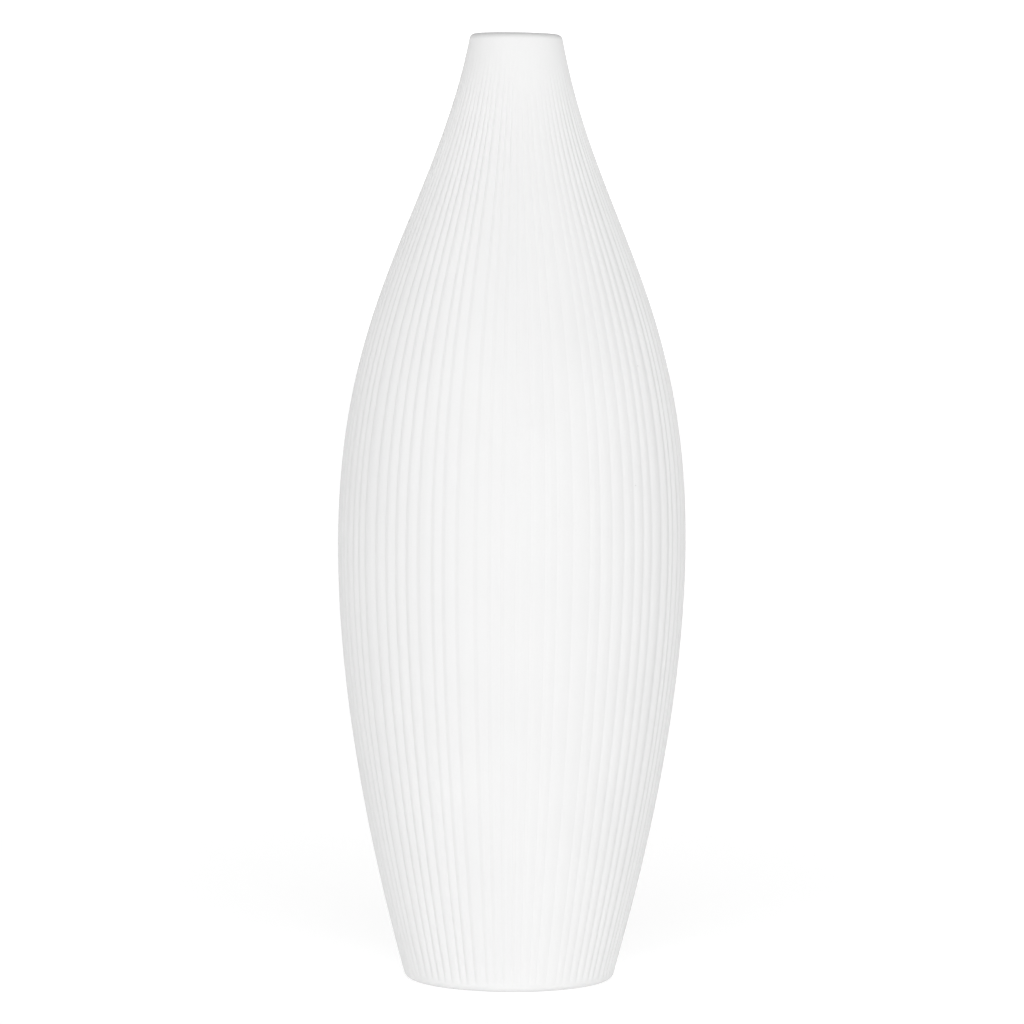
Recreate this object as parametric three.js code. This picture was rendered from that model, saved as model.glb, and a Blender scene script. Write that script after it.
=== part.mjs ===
// A ribbed bud vase: one slip-cast wall of unglazed porcelain, with a thin gloss glaze fired onto
// its inside. Millimetres, +Z up. The origin is the centre of the foot, on the surface that the vase
// stands on.

import * as THREE from "three";

const DEGREE = Math.PI / 180;

// Whole vase
const HEIGHT = 250;
const WALL = 3.2;

// The outline over the ribs' lands: a curve from the foot out to the belly, and one from the belly
// in to the lip. lean is how far the wall leans from upright, and a reach is how far a curve holds
// its first direction.
const FOOT = { radius: 27.95, lean: 14.2 * DEGREE, reach: 10.8, corner: 2 };
const BELLY = { radius: 46, height: 116, reachBelow: 51.6, reachAbove: 64.6 };
const LIP = { radius: 12.3, lean: 10.7 * DEGREE, reach: 47.2, roll: WALL / 2 };

// Underside and inside floor
const FOOT_RING_WIDTH = 5;
const RECESS = { depth: 2, slope: 1.5 };
const FLOOR_HEIGHT = 6.5;
const FLOOR_CORNER = 6;

// Ribs and the grooves between them
const RIBS = 76;
const GROOVE_DEPTH = 0.27;
const GROOVE_WIDTH = 1.4; // at the belly, and in proportion to the radius elsewhere
const GROOVES = { bottom: 1.8, fullFrom: 3.6, fullTo: 218, top: 240.5 };
const FIRST_GROOVE = -159.9 * DEGREE;
// The spacing wanders as hand-cut grooves do. Each wave closes on itself after a whole turn.
const SPACING_WAVES = [
  { waves: 10, swing: 0.41 * DEGREE, phase: 87 * DEGREE },
  { waves: 20, swing: 0.46 * DEGREE, phase: -104 * DEGREE },
  { waves: 29, swing: 0.28 * DEGREE, phase: 165 * DEGREE },
];

// Inside glaze
const GLAZE_THICKNESS = 0.3;
const GLAZE_CLEARANCE = 0.05;
const GLAZE_TOP = 244;

// How finely the surfaces are faceted
const SMOOTH_SIDES = RIBS / 2;
const OUTSIDE_STEPS = 16;
const INSIDE_STEPS = 13;
const CORNER_STEPS = 3;

const BISQUE = { color: 0xf3f2f0, roughness: 0.92, metalness: 0 };
const GLOSS_GLAZE = { color: 0xf7f6f3, roughness: 0.18, metalness: 0 };

const profilePoint = (radius, height) => new THREE.Vector2(radius, height);

// Whole steps from first to last, both included.
function spread(first, last, steps) {
  return Array.from({ length: steps + 1 }, (_, i) => first + ((last - first) * i) / steps);
}

// Points of an arc in the profile plane. An angle of 0 points away from the axis, and 90 degrees points up.
function arc(centre, radius, fromAngle, toAngle, steps) {
  return spread(fromAngle, toAngle, steps).map((angle) =>
    profilePoint(centre.x + radius * Math.cos(angle), centre.y + radius * Math.sin(angle)),
  );
}

// ---- The wall's outline ----

const footEdge = profilePoint(FOOT.radius, FOOT.corner * (1 - Math.sin(FOOT.lean)));
const lipEdge = profilePoint(LIP.radius, HEIGHT - LIP.roll * (1 - Math.sin(LIP.lean)));

const lowerWall = new THREE.CubicBezierCurve(
  footEdge,
  profilePoint(
    footEdge.x + FOOT.reach * Math.sin(FOOT.lean),
    footEdge.y + FOOT.reach * Math.cos(FOOT.lean),
  ),
  profilePoint(BELLY.radius, BELLY.height - BELLY.reachBelow),
  profilePoint(BELLY.radius, BELLY.height),
);

const upperWall = new THREE.CubicBezierCurve(
  profilePoint(BELLY.radius, BELLY.height),
  profilePoint(BELLY.radius, BELLY.height + BELLY.reachAbove),
  profilePoint(
    lipEdge.x + LIP.reach * Math.sin(LIP.lean),
    lipEdge.y - LIP.reach * Math.cos(LIP.lean),
  ),
  lipEdge,
);

// The wall's surface at a place from 0 at the foot through 1 at the belly to 2 at the lip, moved
// inwards by inset.
function wallPoint(place, inset = 0) {
  const curve = place < 1 ? lowerWall : upperWall;
  const share = place < 1 ? place : place - 1;
  const tangent = curve.getTangent(share);
  return curve.getPoint(share).add(profilePoint(-tangent.y, tangent.x).multiplyScalar(inset));
}

// The place at which the wall, moved inwards by inset, reaches a height.
function placeAt(height, inset = 0) {
  const closeEnough = 1e-7;
  let low = 0;
  let high = 2;
  while (high - low > closeEnough) {
    const middle = (low + high) / 2;
    if (wallPoint(middle, inset).y < height) {
      low = middle;
    } else {
      high = middle;
    }
  }
  return low;
}

// ---- Rings: a ring is a list of points round the axis, or one point on it ----

const axisPoint = (height) => [new THREE.Vector3(0, 0, height)];

function smoothRing(point) {
  const step = (2 * Math.PI) / SMOOTH_SIDES;
  return Array.from({ length: SMOOTH_SIDES }, (_, i) => {
    const angle = FIRST_GROOVE + step * (i + 0.5);
    return new THREE.Vector3(point.x * Math.cos(angle), point.x * Math.sin(angle), point.y);
  });
}

function grooveAngle(groove) {
  const turn = (2 * Math.PI * groove) / RIBS;
  const wander = SPACING_WAVES.map(({ waves, swing, phase }) => swing * Math.cos(waves * turn + phase));
  return FIRST_GROOVE + turn + wander.reduce((sum, shift) => sum + shift, 0);
}

// A ring of flat lands with a V-shaped groove between each two, sunk by a share of its full depth.
function ribbedRing(point, share) {
  const bottom = point.x - share * GROOVE_DEPTH;
  const halfWidth = GROOVE_WIDTH / 2 / BELLY.radius;
  const ring = [];
  for (let groove = 0; groove < RIBS; groove += 1) {
    const middle = grooveAngle(groove);
    for (const [angle, radius] of [
      [middle - halfWidth, point.x],
      [middle, bottom],
      [middle + halfWidth, point.x],
    ]) {
      ring.push(new THREE.Vector3(radius * Math.cos(angle), radius * Math.sin(angle), point.y));
    }
  }
  return ring;
}

// Joins rings into one closed skin. Of two neighbouring rings, the longer has a whole number of
// points for each point of the shorter. The faces point away from a walk up the inside, over the lip
// and down the outside.
function loft(rings) {
  const index = [];
  const triangle = (a, b, c, flipped) => index.push(a, flipped ? c : b, flipped ? b : c);
  let start = 0;
  for (let row = 0; row + 1 < rings.length; row += 1) {
    const here = { start, count: rings[row].length };
    const next = { start: start + rings[row].length, count: rings[row + 1].length };
    const flipped = here.count > next.count;
    const [short, long] = flipped ? [next, here] : [here, next];
    const fan = long.count / short.count;
    for (let i = 0; i < short.count; i += 1) {
      const hub = short.start + i;
      for (let j = i * fan; j < (i + 1) * fan; j += 1) {
        triangle(hub, long.start + j, long.start + ((j + 1) % long.count), flipped);
      }
      if (short.count > 1) {
        const end = long.start + (((i + 1) * fan) % long.count);
        triangle(hub, end, short.start + ((i + 1) % short.count), flipped);
      }
    }
    start += rings[row].length;
  }
  const positions = rings.flat().flatMap((point) => point.toArray());
  const geometry = new THREE.BufferGeometry();
  geometry.setAttribute("position", new THREE.Float32BufferAttribute(positions, 3));
  geometry.setIndex(index);
  geometry.computeVertexNormals();
  return geometry;
}

// ---- The vase's surfaces, as rings ----

// The inside surface from the middle of the floor up to the glaze's edge, moved into the hollow by inset.
function insideRings(inset) {
  const depth = WALL + inset;
  const cornerPlace = placeAt(FLOOR_HEIGHT + FLOOR_CORNER, WALL + FLOOR_CORNER);
  const cornerCentre = wallPoint(cornerPlace, WALL + FLOOR_CORNER);
  const wallFoot = wallPoint(cornerPlace, depth);
  const wallAngle = Math.atan2(wallFoot.y - cornerCentre.y, wallFoot.x - cornerCentre.x);
  const corner = arc(cornerCentre, FLOOR_CORNER - inset, -Math.PI / 2, wallAngle, CORNER_STEPS);
  const heights = spread(wallPoint(cornerPlace).y, GLAZE_TOP, INSIDE_STEPS).slice(1);
  const wall = heights.map((height) => wallPoint(placeAt(height), depth));
  return [axisPoint(FLOOR_HEIGHT + inset), ...[...corner, ...wall].map(smoothRing)];
}

// The rounded lip, from the inside over its top to the outside.
function lipRings() {
  const centre = wallPoint(2, LIP.roll);
  const inner = arc(centre, LIP.roll, Math.PI + LIP.lean, Math.PI / 2, CORNER_STEPS);
  const outer = arc(centre, LIP.roll, Math.PI / 2, LIP.lean, CORNER_STEPS);
  return [...inner, ...outer.slice(1)].map(smoothRing);
}

// The outside, from the smooth band under the lip down over the ribs to the foot's corner.
function outsideRings() {
  const share = (height) => Math.min(1, (GROOVES.top - height) / (GROOVES.top - GROOVES.fullTo));
  const ribbed = spread(GROOVES.top, GROOVES.fullFrom, OUTSIDE_STEPS).map((height) =>
    ribbedRing(wallPoint(placeAt(height)), share(height)),
  );
  return [...ribbed, ribbedRing(wallPoint(placeAt(GROOVES.bottom)), 0)];
}

// The foot's corner, the flat ring that the vase stands on, and the recess inside it.
function footRings() {
  const centre = wallPoint(0, FOOT.corner);
  const corner = arc(centre, FOOT.corner, -FOOT.lean, -Math.PI / 2, CORNER_STEPS);
  const ringInside = centre.x - FOOT_RING_WIDTH;
  const recess = [
    profilePoint(ringInside, 0),
    profilePoint(ringInside - RECESS.slope, RECESS.depth),
  ];
  return [...[...corner, ...recess].map(smoothRing), axisPoint(RECESS.depth)];
}

function vaseBody() {
  return loft([...insideRings(0), ...lipRings(), ...outsideRings(), ...footRings()]);
}

// The glaze's face, towards the hollow, and its back, which lies along the wall.
function interiorGlaze() {
  const back = insideRings(GLAZE_CLEARANCE);
  const face = insideRings(GLAZE_CLEARANCE + GLAZE_THICKNESS);
  return loft([...face, ...back.reverse()]);
}

// ---- The assembled vase ----

function mesh(name, geometry, finish) {
  const part = new THREE.Mesh(geometry, new THREE.MeshStandardMaterial(finish));
  part.name = name;
  return part;
}

const vase = new THREE.Group();
vase.add(mesh("vase_body", vaseBody(), BISQUE));
vase.add(mesh("interior_glaze", interiorGlaze(), GLOSS_GLAZE));

export default vase;
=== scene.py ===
"""The looks of a ribbed porcelain bud vase: fine meshes of its ribs and lip, bare bisque outside and a
gloss glaze inside.

Everything is in metres in the frame's own axes, +Z up, with the foot's centre at the origin.
"""

import math

import bpy
import numpy as np
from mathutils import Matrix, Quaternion, Vector


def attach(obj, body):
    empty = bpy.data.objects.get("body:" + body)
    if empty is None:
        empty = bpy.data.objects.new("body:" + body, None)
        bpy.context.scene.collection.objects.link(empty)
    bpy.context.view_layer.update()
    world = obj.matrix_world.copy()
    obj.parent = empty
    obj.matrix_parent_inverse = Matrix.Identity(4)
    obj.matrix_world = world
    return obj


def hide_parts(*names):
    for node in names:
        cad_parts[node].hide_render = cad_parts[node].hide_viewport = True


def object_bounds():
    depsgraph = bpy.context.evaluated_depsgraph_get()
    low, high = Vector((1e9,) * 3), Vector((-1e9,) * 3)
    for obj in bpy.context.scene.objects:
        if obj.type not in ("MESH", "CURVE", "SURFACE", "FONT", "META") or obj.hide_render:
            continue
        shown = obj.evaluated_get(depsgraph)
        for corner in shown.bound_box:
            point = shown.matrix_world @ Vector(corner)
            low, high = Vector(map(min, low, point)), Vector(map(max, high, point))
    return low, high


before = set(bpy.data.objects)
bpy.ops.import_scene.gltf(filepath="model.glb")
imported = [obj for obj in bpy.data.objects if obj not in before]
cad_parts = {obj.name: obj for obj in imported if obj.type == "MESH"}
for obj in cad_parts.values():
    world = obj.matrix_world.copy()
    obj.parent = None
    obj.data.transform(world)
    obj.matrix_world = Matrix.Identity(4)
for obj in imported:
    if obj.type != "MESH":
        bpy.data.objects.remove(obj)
cad_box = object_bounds()

MM = 0.001
DEGREE = math.pi / 180

# ---- Driving dimensions ----

HEIGHT = cad_box[1].z
WALL = 3.2 * MM

# The wall's outline. A lean is the wall's lean from upright, and a reach is how far a curve holds its first
# direction.
FOOT_RADIUS, FOOT_LEAN, FOOT_REACH, FOOT_CORNER = 27.95 * MM, 14.2 * DEGREE, 10.8 * MM, 2.0 * MM
BELLY_RADIUS, BELLY_HEIGHT = 46 * MM, 116 * MM
BELLY_REACH_BELOW, BELLY_REACH_ABOVE = 51.6 * MM, 64.6 * MM
LIP_RADIUS, LIP_LEAN, LIP_REACH, LIP_ROLL = 12.3 * MM, 10.7 * DEGREE, 47.2 * MM, WALL / 2
# The neck shifts to one side and its rim tilts out of level, both easing in from LEAN_FROM up.
LIP_TILT = 0.45 * DEGREE
LIP_SHIFT = 0.17 * MM
LEAN_FROM = 215 * MM

FOOT_RING_WIDTH = 5 * MM
FOOT_RING_EASE = 0.4 * MM
RECESS_DEPTH = 2 * MM
RECESS_CORNER = 1.5 * MM
FLOOR_HEIGHT = 6.5 * MM
FLOOR_CORNER = 6 * MM

RIBS = 76
FIRST_GROOVE = -159.9 * DEGREE
# Waves round the wall by which the spacing of the grooves wanders: (waves, swing, phase)
SPACING_WAVES = (
    (10, 0.41 * DEGREE, 87 * DEGREE),
    (20, 0.46 * DEGREE, -104 * DEGREE),
    (29, 0.28 * DEGREE, 165 * DEGREE),
)
# Waves round the wall by which the grooves' depth wanders: (waves, share of the depth, phase)
DEPTH_WAVES = ((1, 0.22, -14 * DEGREE), (2, 0.5, -17 * DEGREE), (4, 0.31, 53 * DEGREE))
# A share of the depth that is added on the back, where the waves alone would nearly level the grooves
BACK_MIDDLE, BACK_DEEPER, BACK_NARROWNESS = 115 * DEGREE, 0.4, 4
# A groove's flanks at the belly: one is steep, and the one towards smaller angles is gentle. The steep
# flanks are narrower on one side of the vase than on the other.
GROOVE_DEPTH = 0.27 * MM
STEEP_WIDTH = 0.85 * MM
STEEP_SWING, STEEP_PHASE = 0.3, -10 * DEGREE
GENTLE_WIDTH = 1.25 * MM
# How far the middle of the land between two grooves stands out from the outline
LAND_CROWN = 0.1 * MM
# The heights between which the grooves fade out on the neck and at the foot
GROOVE_TOP_FADE = (216 * MM, 246 * MM)
GROOVE_FOOT_FADE = (1.2 * MM, 3.6 * MM)
# How much the grooves differ from each other: in depth and width, as shares, and in where they end
DEPTH_SPREAD, WIDTH_SPREAD, END_SPREAD = 0.09, 0.08, 1.6 * MM
# Slow waves along each groove, as (swing, height over which the wave turns by a radian). Depth and width
# swing by a share, and the groove sways round the vase by an angle.
DEPTH_DRIFT = (0.07, 17 * MM)
WIDTH_DRIFT = (0.05, 26 * MM)
SWAY = (0.0011, 31 * MM)

GLAZE_THICKNESS = 0.3 * MM
GLAZE_CLEARANCE = 0.05 * MM
GLAZE_TOP = 244 * MM
# The glaze's edge is rounded, and wanders up and down in waves round the vase, which grow in from below.
GLAZE_EDGE_ROUND = 0.12 * MM
GLAZE_EDGE_WAVES = (2, 3, 5, 8, 13)
GLAZE_EDGE_SWING = 0.28 * MM
GLAZE_EDGE_FROM = 12 * MM

# How finely the surfaces are faceted: points round the vase, and rings along it. A rib's samples gather
# towards its two grooves.
SAMPLES_PER_RIB = 12
SAMPLE_GATHER = 0.35
SMOOTH_SIDES = RIBS * SAMPLES_PER_RIB // 2
GLAZE_SIDES = RIBS * 3
INSIDE_RINGS = 22
RIBBED_RINGS = 64
GLAZE_RINGS = 44
LIP_STEPS = 14
CORNER_STEPS = 8
# How far below the lip's edge the inside's last ring, the smooth band's rings and the first ribbed ring lie
INSIDE_DROP = 1.5 * MM
BAND_DROPS = (1.2 * MM, 2.6 * MM)
RIBBED_DROP = 3.2 * MM
# The heights of the last evenly spaced ribbed ring and of the closer rings below it, where the grooves fade
RIBBED_BOTTOM = 6 * MM
FADING_HEIGHTS = MM * np.array([5, 4.2, 3.6, 3.0, 2.4, 1.8])

CAMERA_PLACE = (0, -1.22, 0.194)
CAMERA_AIM = (-0.00005, 0, 0.1239)
CAMERA_SENSOR, CAMERA_LENS = 36, 162.15
CAMERA_ROLL = 0.4 * DEGREE

# The studio's brightness near the horizon and overhead, and the elevations between which it changes
HORIZON, OVERHEAD = 1.0, 0.05
WHITE_TO, DIM_FROM = 4 * DEGREE, 25 * DEGREE
# A band of light all round: its lower edge, its brightest elevation and its upper edge
BAND, BAND_STRENGTH = (4 * DEGREE, 12 * DEGREE, 35 * DEGREE), 1.65
# Soft lights: (azimuth, elevation, strength, how narrow)
SOFT_LIGHTS = (
    (-89 * DEGREE, 25 * DEGREE, 3.8, 8.0),
    (91 * DEGREE, 30 * DEGREE, 2.4, 16.0),
)

rng = np.random.default_rng(7)


# ---- The wall's outline: arrays of (radius, height) ----

def bezier(points, share):
    """Points and unit tangents of a cubic curve at an array of shares from 0 to 1."""
    a, b, c, d = (np.array(p, float) for p in points)
    t = np.asarray(share, float)[:, None]
    point = (1 - t) ** 3 * a + 3 * (1 - t) ** 2 * t * b + 3 * (1 - t) * t**2 * c + t**3 * d
    tangent = (1 - t) ** 2 * (b - a) + 2 * (1 - t) * t * (c - b) + t**2 * (d - c)
    return point, tangent / np.linalg.norm(tangent, axis=1, keepdims=True)


FOOT_EDGE = (FOOT_RADIUS, FOOT_CORNER * (1 - math.sin(FOOT_LEAN)))
LIP_EDGE = (LIP_RADIUS, HEIGHT - LIP_ROLL * (1 - math.sin(LIP_LEAN)))
LOWER_WALL = (
    FOOT_EDGE,
    (FOOT_EDGE[0] + FOOT_REACH * math.sin(FOOT_LEAN), FOOT_EDGE[1] + FOOT_REACH * math.cos(FOOT_LEAN)),
    (BELLY_RADIUS, BELLY_HEIGHT - BELLY_REACH_BELOW),
    (BELLY_RADIUS, BELLY_HEIGHT),
)
UPPER_WALL = (
    (BELLY_RADIUS, BELLY_HEIGHT),
    (BELLY_RADIUS, BELLY_HEIGHT + BELLY_REACH_ABOVE),
    (LIP_EDGE[0] + LIP_REACH * math.sin(LIP_LEAN), LIP_EDGE[1] - LIP_REACH * math.cos(LIP_LEAN)),
    LIP_EDGE,
)


def wall(inset=0.0, steps=400):
    """The whole wall from foot to lip as a dense line, moved inwards by inset."""
    share = np.linspace(0, 1, steps)
    lower, lower_tangent = bezier(LOWER_WALL, share)
    upper, upper_tangent = bezier(UPPER_WALL, share[1:])
    point = np.vstack([lower, upper])
    tangent = np.vstack([lower_tangent, upper_tangent])
    return point + inset * np.stack([-tangent[:, 1], tangent[:, 0]], axis=1)


def wall_at(heights, inset=0.0):
    """Points on the wall, moved inwards by inset, at places where the outside reaches these heights."""
    outside, line = wall(), wall(inset)
    return np.stack([np.interp(heights, outside[:, 1], line[:, i]) for i in (0, 1)], axis=1)


def arc(centre, radius, start, end, steps):
    """Points of an arc in the profile plane. An angle of 0 is away from the axis, and 90 degrees is up."""
    angle = np.linspace(start, end, steps + 1)
    return np.stack([centre[0] + radius * np.cos(angle), centre[1] + radius * np.sin(angle)], axis=1)


def smoothstep(value, low, high):
    t = np.clip((value - low) / (high - low), 0, 1)
    return t * t * (3 - 2 * t)


# ---- Rings and lofts ----

def even_angles(sides):
    return FIRST_GROOVE + 2 * math.pi * np.arange(sides) / sides


def ring(point, angles):
    radius = np.broadcast_to(point[0], angles.shape)
    height = np.broadcast_to(point[1], angles.shape)
    return np.stack([radius * np.cos(angles), radius * np.sin(angles), height], axis=1)


def loft(rings):
    """Vertices and outward faces of one closed skin over rings that go up the inside, over the lip and down
    the outside. Of two neighbouring rings, the longer has a whole number of points for each point of the
    shorter."""
    faces, start = [], 0
    for here, after in zip(rings, rings[1:]):
        a, b, n, m = start, start + len(here), len(here), len(after)
        if n == m:
            faces += [(a + i, b + i, b + (i + 1) % n, a + (i + 1) % n) for i in range(n)]
        else:
            short, long, few, many = (b, a, m, n) if n > m else (a, b, n, m)
            fan, turn = many // few, -1 if n > m else 1
            for i in range(few):
                for j in range(i * fan, (i + 1) * fan):
                    faces.append((short + i, long + j, long + (j + 1) % many)[::turn])
                if few > 1:
                    end = long + (i + 1) * fan % many
                    faces.append((short + i, end, short + (i + 1) % few)[::turn])
        start += n
    return np.vstack(rings), faces


def make_mesh(name, vertices, faces, material):
    mesh = bpy.data.meshes.new(name)
    mesh.from_pydata(vertices.tolist(), [], faces)
    mesh.validate()
    mesh.materials.append(material)
    mesh.shade_smooth()
    piece = bpy.data.objects.new(name, mesh)
    bpy.context.scene.collection.objects.link(piece)
    return piece


# ---- The porcelain wall ----

def drift(wave, height, phase):
    """The swing of a slow wave along the grooves at a height."""
    swing, radian_height = wave
    return swing * np.sin(height / radian_height + phase)


class Grooves:
    """The ribbed surface, ring by ring. Each groove has a depth, width, upper end and sway of its own."""

    def __init__(self):
        turn = 2 * math.pi * np.arange(RIBS) / RIBS
        wander = sum(swing * np.cos(waves * turn + phase) for waves, swing, phase in SPACING_WAVES)
        self.angle = FIRST_GROOVE + turn + wander
        deeper = sum(swing * np.cos(waves * self.angle + phase) for waves, swing, phase in DEPTH_WAVES)
        at_back = np.maximum(0, np.cos(self.angle - BACK_MIDDLE)) ** BACK_NARROWNESS
        deeper = deeper + BACK_DEEPER * at_back
        self.depth = GROOVE_DEPTH * (1 + deeper + DEPTH_SPREAD * rng.standard_normal(RIBS))
        self.width = 1 + WIDTH_SPREAD * rng.standard_normal(RIBS)
        self.steep = STEEP_WIDTH * (1 + STEEP_SWING * np.cos(self.angle + STEEP_PHASE))
        self.end = END_SPREAD * rng.standard_normal(RIBS)
        self.phase = rng.uniform(0, 2 * math.pi, (3, RIBS))
        # The samples of a rib lie from its groove on to the next one, closer together near both.
        step = np.arange(SAMPLES_PER_RIB) / SAMPLES_PER_RIB
        self.share = step - SAMPLE_GATHER * np.sin(2 * math.pi * step) / (2 * math.pi)

    def sunk(self, height):
        """How far the wall is sunk below its outline at each sample of each rib. The grooves narrow in
        proportion to the wall's radius, and keep their depth up to where they fade."""
        pitch = np.diff(np.append(self.angle, self.angle[0] + 2 * math.pi))[:, None] * BELLY_RADIUS
        fade = 1 - smoothstep(height + self.end, *GROOVE_TOP_FADE)
        fade = fade * smoothstep(height, *GROOVE_FOOT_FADE)
        depth = fade * self.depth * (1 + drift(DEPTH_DRIFT, height, self.phase[0]))
        width = self.width * (1 + drift(WIDTH_DRIFT, height, self.phase[1]))
        steep = self.share * pitch / (self.steep * width)[:, None]
        gentle = (1 - self.share) * pitch / (GENTLE_WIDTH * np.roll(width, -1)[:, None])
        to_groove = 1 - 2 * np.minimum(self.share, 1 - self.share)
        crown = LAND_CROWN * fade[:, None] * (1 - to_groove**2)
        near, far = depth[:, None], np.roll(depth, -1)[:, None]
        return near * np.exp(-(steep**2)) + far * np.exp(-(gentle**2)) - crown

    def ring(self, point):
        angle = self.angle + drift(SWAY, point[1], self.phase[2])
        pitch = np.diff(np.append(angle, angle[0] + 2 * math.pi))
        angles = (angle[:, None] + self.share * pitch[:, None]).ravel()
        radius = point[0] - self.sunk(point[1]).ravel()
        return ring((radius, point[1]), angles)


def tilt_lip(vertices):
    """Shifts the neck to one side and tilts its rim."""
    share = smoothstep(vertices[:, 2], LEAN_FROM, HEIGHT)
    vertices[:, 2] -= share * math.tan(LIP_TILT) * vertices[:, 0]
    vertices[:, 0] += share * LIP_SHIFT
    return vertices


def floor_corner():
    """The centre of the rounded corner between the wall's inside and the floor, and the height of the
    outside straight across the wall from it."""
    outside, line = wall(), wall(WALL + FLOOR_CORNER)
    index = int(np.argmin(np.abs(line[:, 1] - (FLOOR_HEIGHT + FLOOR_CORNER))))
    return line[index], outside[index, 1]


def inside_profile(inset, top, steps):
    """The inside from the middle of the floor up the wall to where the outside is at height top."""
    centre, start = floor_corner()
    wall_line = wall_at(np.linspace(start, top, steps), WALL + inset)
    lean = math.atan2(wall_line[0, 1] - centre[1], wall_line[0, 0] - centre[0])
    corner = arc(centre, FLOOR_CORNER - inset, -math.pi / 2, lean, CORNER_STEPS)
    floor = np.stack([np.linspace(0.15, 0.85, 5) * corner[0, 0], np.full(5, corner[0, 1])], axis=1)
    return np.vstack([floor, corner, wall_line[1:]])


def vase_wall(material):
    smooth = even_angles(SMOOTH_SIDES)
    grooves = Grooves()
    inside = inside_profile(0, LIP_EDGE[1] - INSIDE_DROP, INSIDE_RINGS)
    roll_centre = wall_at([LIP_EDGE[1]], LIP_ROLL)[0]
    lip = arc(roll_centre, LIP_ROLL, math.pi + LIP_LEAN, LIP_LEAN, LIP_STEPS)
    band = wall_at(np.array([LIP_EDGE[1] - drop for drop in BAND_DROPS]))
    ribbed = wall_at(np.linspace(LIP_EDGE[1] - RIBBED_DROP, RIBBED_BOTTOM, RIBBED_RINGS))
    fading = wall_at(FADING_HEIGHTS)
    foot_centre = wall_at([FOOT_EDGE[1]], FOOT_CORNER)[0]
    corner = arc(foot_centre, FOOT_CORNER, -FOOT_LEAN, -math.pi / 2, CORNER_STEPS)
    ring_inside = foot_centre[0] - FOOT_RING_WIDTH
    ease = arc((ring_inside, FOOT_RING_EASE), FOOT_RING_EASE, -math.pi / 2, -math.pi, 3)
    hollow_centre = (ring_inside - FOOT_RING_EASE - RECESS_CORNER, RECESS_DEPTH - RECESS_CORNER)
    hollow = arc(hollow_centre, RECESS_CORNER, 0, math.pi / 2, 5)
    recess = np.array([[share * hollow[-1, 0], RECESS_DEPTH] for share in (0.8, 0.5, 0.2)])
    rings = [np.array([[0, 0, FLOOR_HEIGHT]])]
    rings += [ring(point, smooth) for point in np.vstack([inside, lip, band])]
    rings += [grooves.ring(point) for point in np.vstack([ribbed, fading])]
    rings += [ring(point, smooth) for point in np.vstack([corner, ease, hollow, recess])]
    rings.append(np.array([[0, 0, RECESS_DEPTH]]))
    vertices, faces = loft(rings)
    return make_mesh("porcelain_wall", tilt_lip(vertices), faces, material)


# ---- The glaze ----

def glaze_lining(material):
    """A thin skin of one thickness on the inside, whose edge under the lip wanders."""
    angles = even_angles(GLAZE_SIDES)
    back = inside_profile(GLAZE_CLEARANCE, GLAZE_TOP, GLAZE_RINGS)
    face = inside_profile(GLAZE_CLEARANCE + GLAZE_THICKNESS, GLAZE_TOP, GLAZE_RINGS)
    edge = (back[-1] + face[-1]) / 2 + np.array([0, GLAZE_EDGE_ROUND])
    phases = rng.uniform(0, 2 * math.pi, len(GLAZE_EDGE_WAVES))
    wander = sum(
        GLAZE_EDGE_SWING * np.cos(waves * angles + phase) / math.sqrt(waves)
        for waves, phase in zip(GLAZE_EDGE_WAVES, phases)
    )

    def rings(profile):
        for point in profile:
            share = smoothstep(point[1], GLAZE_TOP - GLAZE_EDGE_FROM, GLAZE_TOP)
            yield ring((point[0], point[1] + share * wander), angles)

    whole = [np.array([[0, 0, face[0, 1]]]), *rings(face), *rings([edge]), *rings(back[::-1])]
    whole.append(np.array([[0, 0, back[0, 1]]]))
    vertices, faces = loft(whole)
    return make_mesh("glaze_lining", tilt_lip(vertices), faces, material)


# ---- Materials ----

# Where most values of a noise texture lie
NOISE_RANGE = (0.3, 0.7)
BISQUE_TONES = (0.61, 0.625)
# The third tone is painted shade: a dark grey for the rim's top, where little light falls from above.
GRAIN_TONE, SPECK_TONE, PAINTED_RIM_SHADE_TONE = 0.58, 0.34, 0.34
# How strongly the grain shows, the specks show and the painted shade on the rim's top shows
GRAIN_SHARE, SPECK_SHARE, PAINTED_RIM_SHADE_SHARE = 0.2, 0.5, 0.62
# Below the top of the vase: where the painted shade on the rim starts, and where it is full
PAINTED_RIM_SHADE_BAND = (1.6 * MM, 0.2 * MM)
GRAIN_RELIEF = 0.004 * MM
GLAZE_TONES = (0.86, 0.86, 0.845, 1), (0.9, 0.9, 0.89, 1)
GLAZE_RELIEF = 0.05 * MM


def grey(tone):
    return (tone, tone, tone, 1)


def feed(tree, socket, value):
    """Links a node's output to a socket, or sets the socket to a plain value."""
    if isinstance(value, bpy.types.NodeSocket):
        tree.links.new(value, socket)
    else:
        socket.default_value = value


def add_node(tree, kind, inputs=(), **settings):
    node = tree.nodes.new(kind)
    for key, value in settings.items():
        setattr(node, key, value)
    for key, value in dict(inputs).items():
        feed(tree, node.inputs[key], value)
    return node


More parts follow.
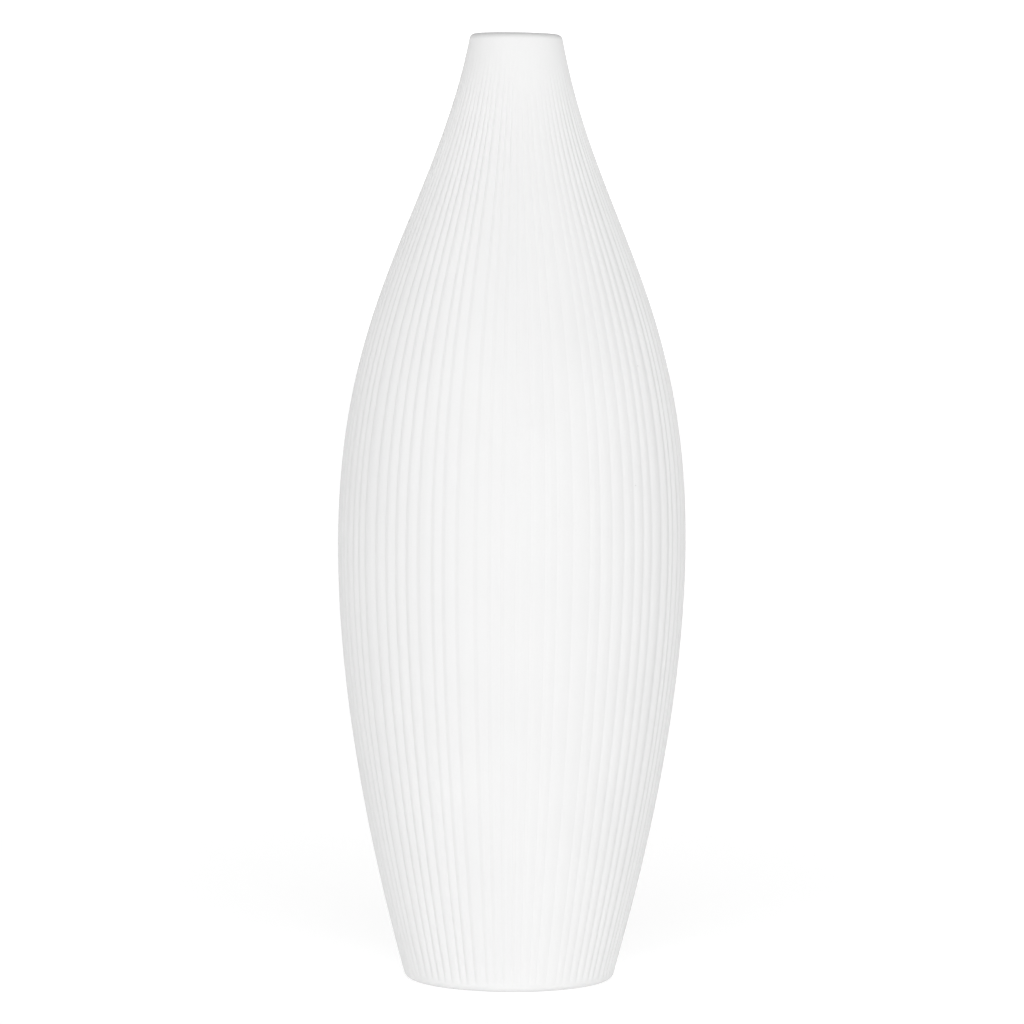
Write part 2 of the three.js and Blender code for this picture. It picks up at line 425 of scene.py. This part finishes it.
class Nodes:
    """A material's node tree, with short ways to add and link nodes."""

    def __init__(self, name):
        self.material = bpy.data.materials.new(name)
        self.material.use_nodes = True
        self.tree = self.material.node_tree
        self.shader = self.tree.nodes["Principled BSDF"]
        self.place = self.add("ShaderNodeTexCoord").outputs["Object"]

    def add(self, kind, inputs=(), **settings):
        return add_node(self.tree, kind, inputs, **settings)

    def noise(self, size, detail=2.0, roughness=0.5):
        """Noise whose features are about size metres across, from 0 to 1."""
        settings = {"Vector": self.place, "Scale": 1 / size, "Detail": detail, "Roughness": roughness}
        return self.add("ShaderNodeTexNoise", settings).outputs["Fac"]

    def remap(self, value, from_range, to_range):
        settings = {
            "Value": value,
            "From Min": from_range[0],
            "From Max": from_range[1],
            "To Min": to_range[0],
            "To Max": to_range[1],
        }
        return self.add("ShaderNodeMapRange", settings).outputs["Result"]

    def math(self, operation, a, b):
        return self.add("ShaderNodeMath", {0: a, 1: b}, operation=operation).outputs[0]

    def mix(self, share, a, b):
        """A mix of two colours. The node's colour sockets are its inputs 6 and 7 and its output 2."""
        return self.add("ShaderNodeMix", {"Factor": share, 6: a, 7: b}, data_type="RGBA").outputs[2]

    def bump(self, height, distance, below=None):
        inputs = {"Height": height, "Distance": distance, "Strength": 1.0}
        if below is not None:
            inputs["Normal"] = below
        return self.add("ShaderNodeBump", inputs).outputs["Normal"]

    def set(self, **inputs):
        for key, value in inputs.items():
            feed(self.tree, self.shader.inputs[key.replace("_", " ")], value)


def bisque_porcelain():
    """Unglazed fired porcelain: matt, with a fine sandy grain, faint clouds and a few tiny specks. Its tone
    is a light grey, which the strong studio light turns white. Over the very top of the rim, shade is
    painted into the colour as a darker grey."""
    nodes = Nodes("bisque_porcelain")
    clouds = nodes.noise(28 * MM, detail=4.0)
    grain = nodes.noise(0.45 * MM, detail=3.0, roughness=0.6)
    sand = nodes.noise(1.6 * MM, detail=2.0)
    tone = nodes.mix(nodes.remap(clouds, NOISE_RANGE, (0, 1)), *map(grey, BISQUE_TONES))
    grainy = nodes.mix(nodes.remap(grain, NOISE_RANGE, (0, GRAIN_SHARE)), tone, grey(GRAIN_TONE))
    cells = nodes.add("ShaderNodeTexVoronoi", {"Vector": nodes.place, "Scale": 1 / (11 * MM)})
    speck = nodes.remap(cells.outputs["Distance"], (0.012, 0.02), (1, 0))
    lot = nodes.add("ShaderNodeSeparateColor", {0: cells.outputs["Color"]}).outputs[0]
    rare = nodes.remap(lot, (0.8, 0.82), (0, SPECK_SHARE))
    specked = nodes.mix(nodes.math("MULTIPLY", speck, rare), grainy, grey(SPECK_TONE))
    height = nodes.add("ShaderNodeSeparateXYZ", {0: nodes.place}).outputs["Z"]
    # Painted shade: over the top of the rim the colour darkens towards grey, standing in for weak light
    # from above.
    rim = nodes.remap(height, (HEIGHT - PAINTED_RIM_SHADE_BAND[0], HEIGHT - PAINTED_RIM_SHADE_BAND[1]), (0, PAINTED_RIM_SHADE_SHARE))
    body = nodes.mix(rim, specked, grey(PAINTED_RIM_SHADE_TONE))
    nodes.set(Base_Color=body, Roughness=nodes.remap(grain, NOISE_RANGE, (0.82, 0.95)))
    nodes.set(Diffuse_Roughness=0.2, Specular_IOR_Level=0.1)
    relief = nodes.bump(sand, GRAIN_RELIEF)
    nodes.set(Normal=nodes.bump(grain, GRAIN_RELIEF, below=relief))
    return nodes.material


def gloss_glaze():
    """Clear gloss glaze over white: faint clouds, small waves in its surface, and a shine."""
    nodes = Nodes("interior_glaze")
    clouds = nodes.noise(18 * MM, detail=3.0)
    tone = nodes.mix(clouds, *GLAZE_TONES)
    nodes.set(Base_Color=tone, Roughness=nodes.remap(clouds, NOISE_RANGE, (0.1, 0.2)))
    nodes.set(Coat_Weight=0.6, Coat_Roughness=0.06)
    nodes.set(Normal=nodes.bump(nodes.noise(6 * MM), GLAZE_RELIEF))
    return nodes.material


# ---- Stage: floor, light and camera ----

def studio_floor():
    """A wide pale disc just under the foot. It gives off some light of its own, so that it reads white."""
    sides, radius, gap = 96, 6.0, 0.05 * MM
    angles = 2 * math.pi * np.arange(sides) / sides
    rings = [np.array([[0, 0, 0]], float), ring((radius, 0), angles)]
    vertices, faces = loft(rings)
    nodes = Nodes("studio_floor")
    nodes.set(Base_Color=(0.45, 0.45, 0.45, 1), Roughness=0.9, Specular_IOR_Level=0.0)
    nodes.set(Emission_Color=(1, 1, 1, 1), Emission_Strength=0.66)
    floor = make_mesh("studio_floor", vertices - np.array([0, 0, gap]), faces, nodes.material)


def studio_light():
    """A white studio all round: bright at the horizon, nearly dark overhead, with a band of light above the
    horizon and two broad soft lights, in front of the vase and behind it."""
    world = bpy.data.worlds.new("studio")
    world.use_nodes = True
    bpy.context.scene.world = world
    tree = world.node_tree

    def add(kind, inputs=(), **settings):
        return add_node(tree, kind, inputs, **settings)

    direction = add("ShaderNodeTexCoord").outputs["Generated"]
    height = add("ShaderNodeSeparateXYZ", {0: direction}).outputs["Z"]

    def fade(low, high, first, last):
        """A smooth step between two elevations."""
        settings = {
            "Value": height,
            "From Min": math.sin(low),
            "From Max": math.sin(high),
            "To Min": first,
            "To Max": last,
        }
        return add("ShaderNodeMapRange", settings, interpolation_type="SMOOTHSTEP").outputs["Result"]

    total = fade(WHITE_TO, DIM_FROM, HORIZON, OVERHEAD)
    rise, fall = fade(BAND[0], BAND[1], 0.0, 1.0), fade(BAND[1], BAND[2], BAND_STRENGTH, 0.0)
    total = add("ShaderNodeMath", {0: rise, 1: fall, 2: total}, operation="MULTIPLY_ADD").outputs[0]
    for azimuth, elevation, strength, spread in SOFT_LIGHTS:
        towards = (
            math.cos(elevation) * math.cos(azimuth),
            math.cos(elevation) * math.sin(azimuth),
            math.sin(elevation),
        )
        turned = add("ShaderNodeVectorMath", {0: direction, 1: towards}, operation="DOT_PRODUCT")
        clear = add("ShaderNodeMath", {0: turned.outputs["Value"], 1: 0.0}, operation="MAXIMUM").outputs[0]
        lobe = add("ShaderNodeMath", {0: clear, 1: spread}, operation="POWER").outputs[0]
        total = add("ShaderNodeMath", {0: lobe, 1: strength, 2: total}, operation="MULTIPLY_ADD").outputs[0]
    tree.nodes["Background"].inputs["Color"].default_value = (1, 1, 1, 1)
    tree.links.new(total, tree.nodes["Background"].inputs["Strength"])


def camera():
    data = bpy.data.cameras.new("camera")
    data.sensor_width, data.lens = CAMERA_SENSOR, CAMERA_LENS
    data.clip_start, data.clip_end = 0.05, 50
    eye = bpy.data.objects.new("camera", data)
    bpy.context.scene.collection.objects.link(eye)
    eye.location = CAMERA_PLACE
    facing = (Vector(CAMERA_AIM) - Vector(CAMERA_PLACE)).to_track_quat("-Z", "Y")
    eye.rotation_mode = "QUATERNION"
    eye.rotation_quaternion = facing @ Quaternion((0, 0, 1), CAMERA_ROLL)
    bpy.context.scene.camera = eye


camera()
studio_floor()
studio_light()

porcelain = vase_wall(bisque_porcelain())
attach(porcelain, "root")
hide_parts("vase_body")

glaze = glaze_lining(gloss_glaze())
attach(glaze, "root")
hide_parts("interior_glaze")

bpy.context.scene.view_settings.view_transform = "Standard"
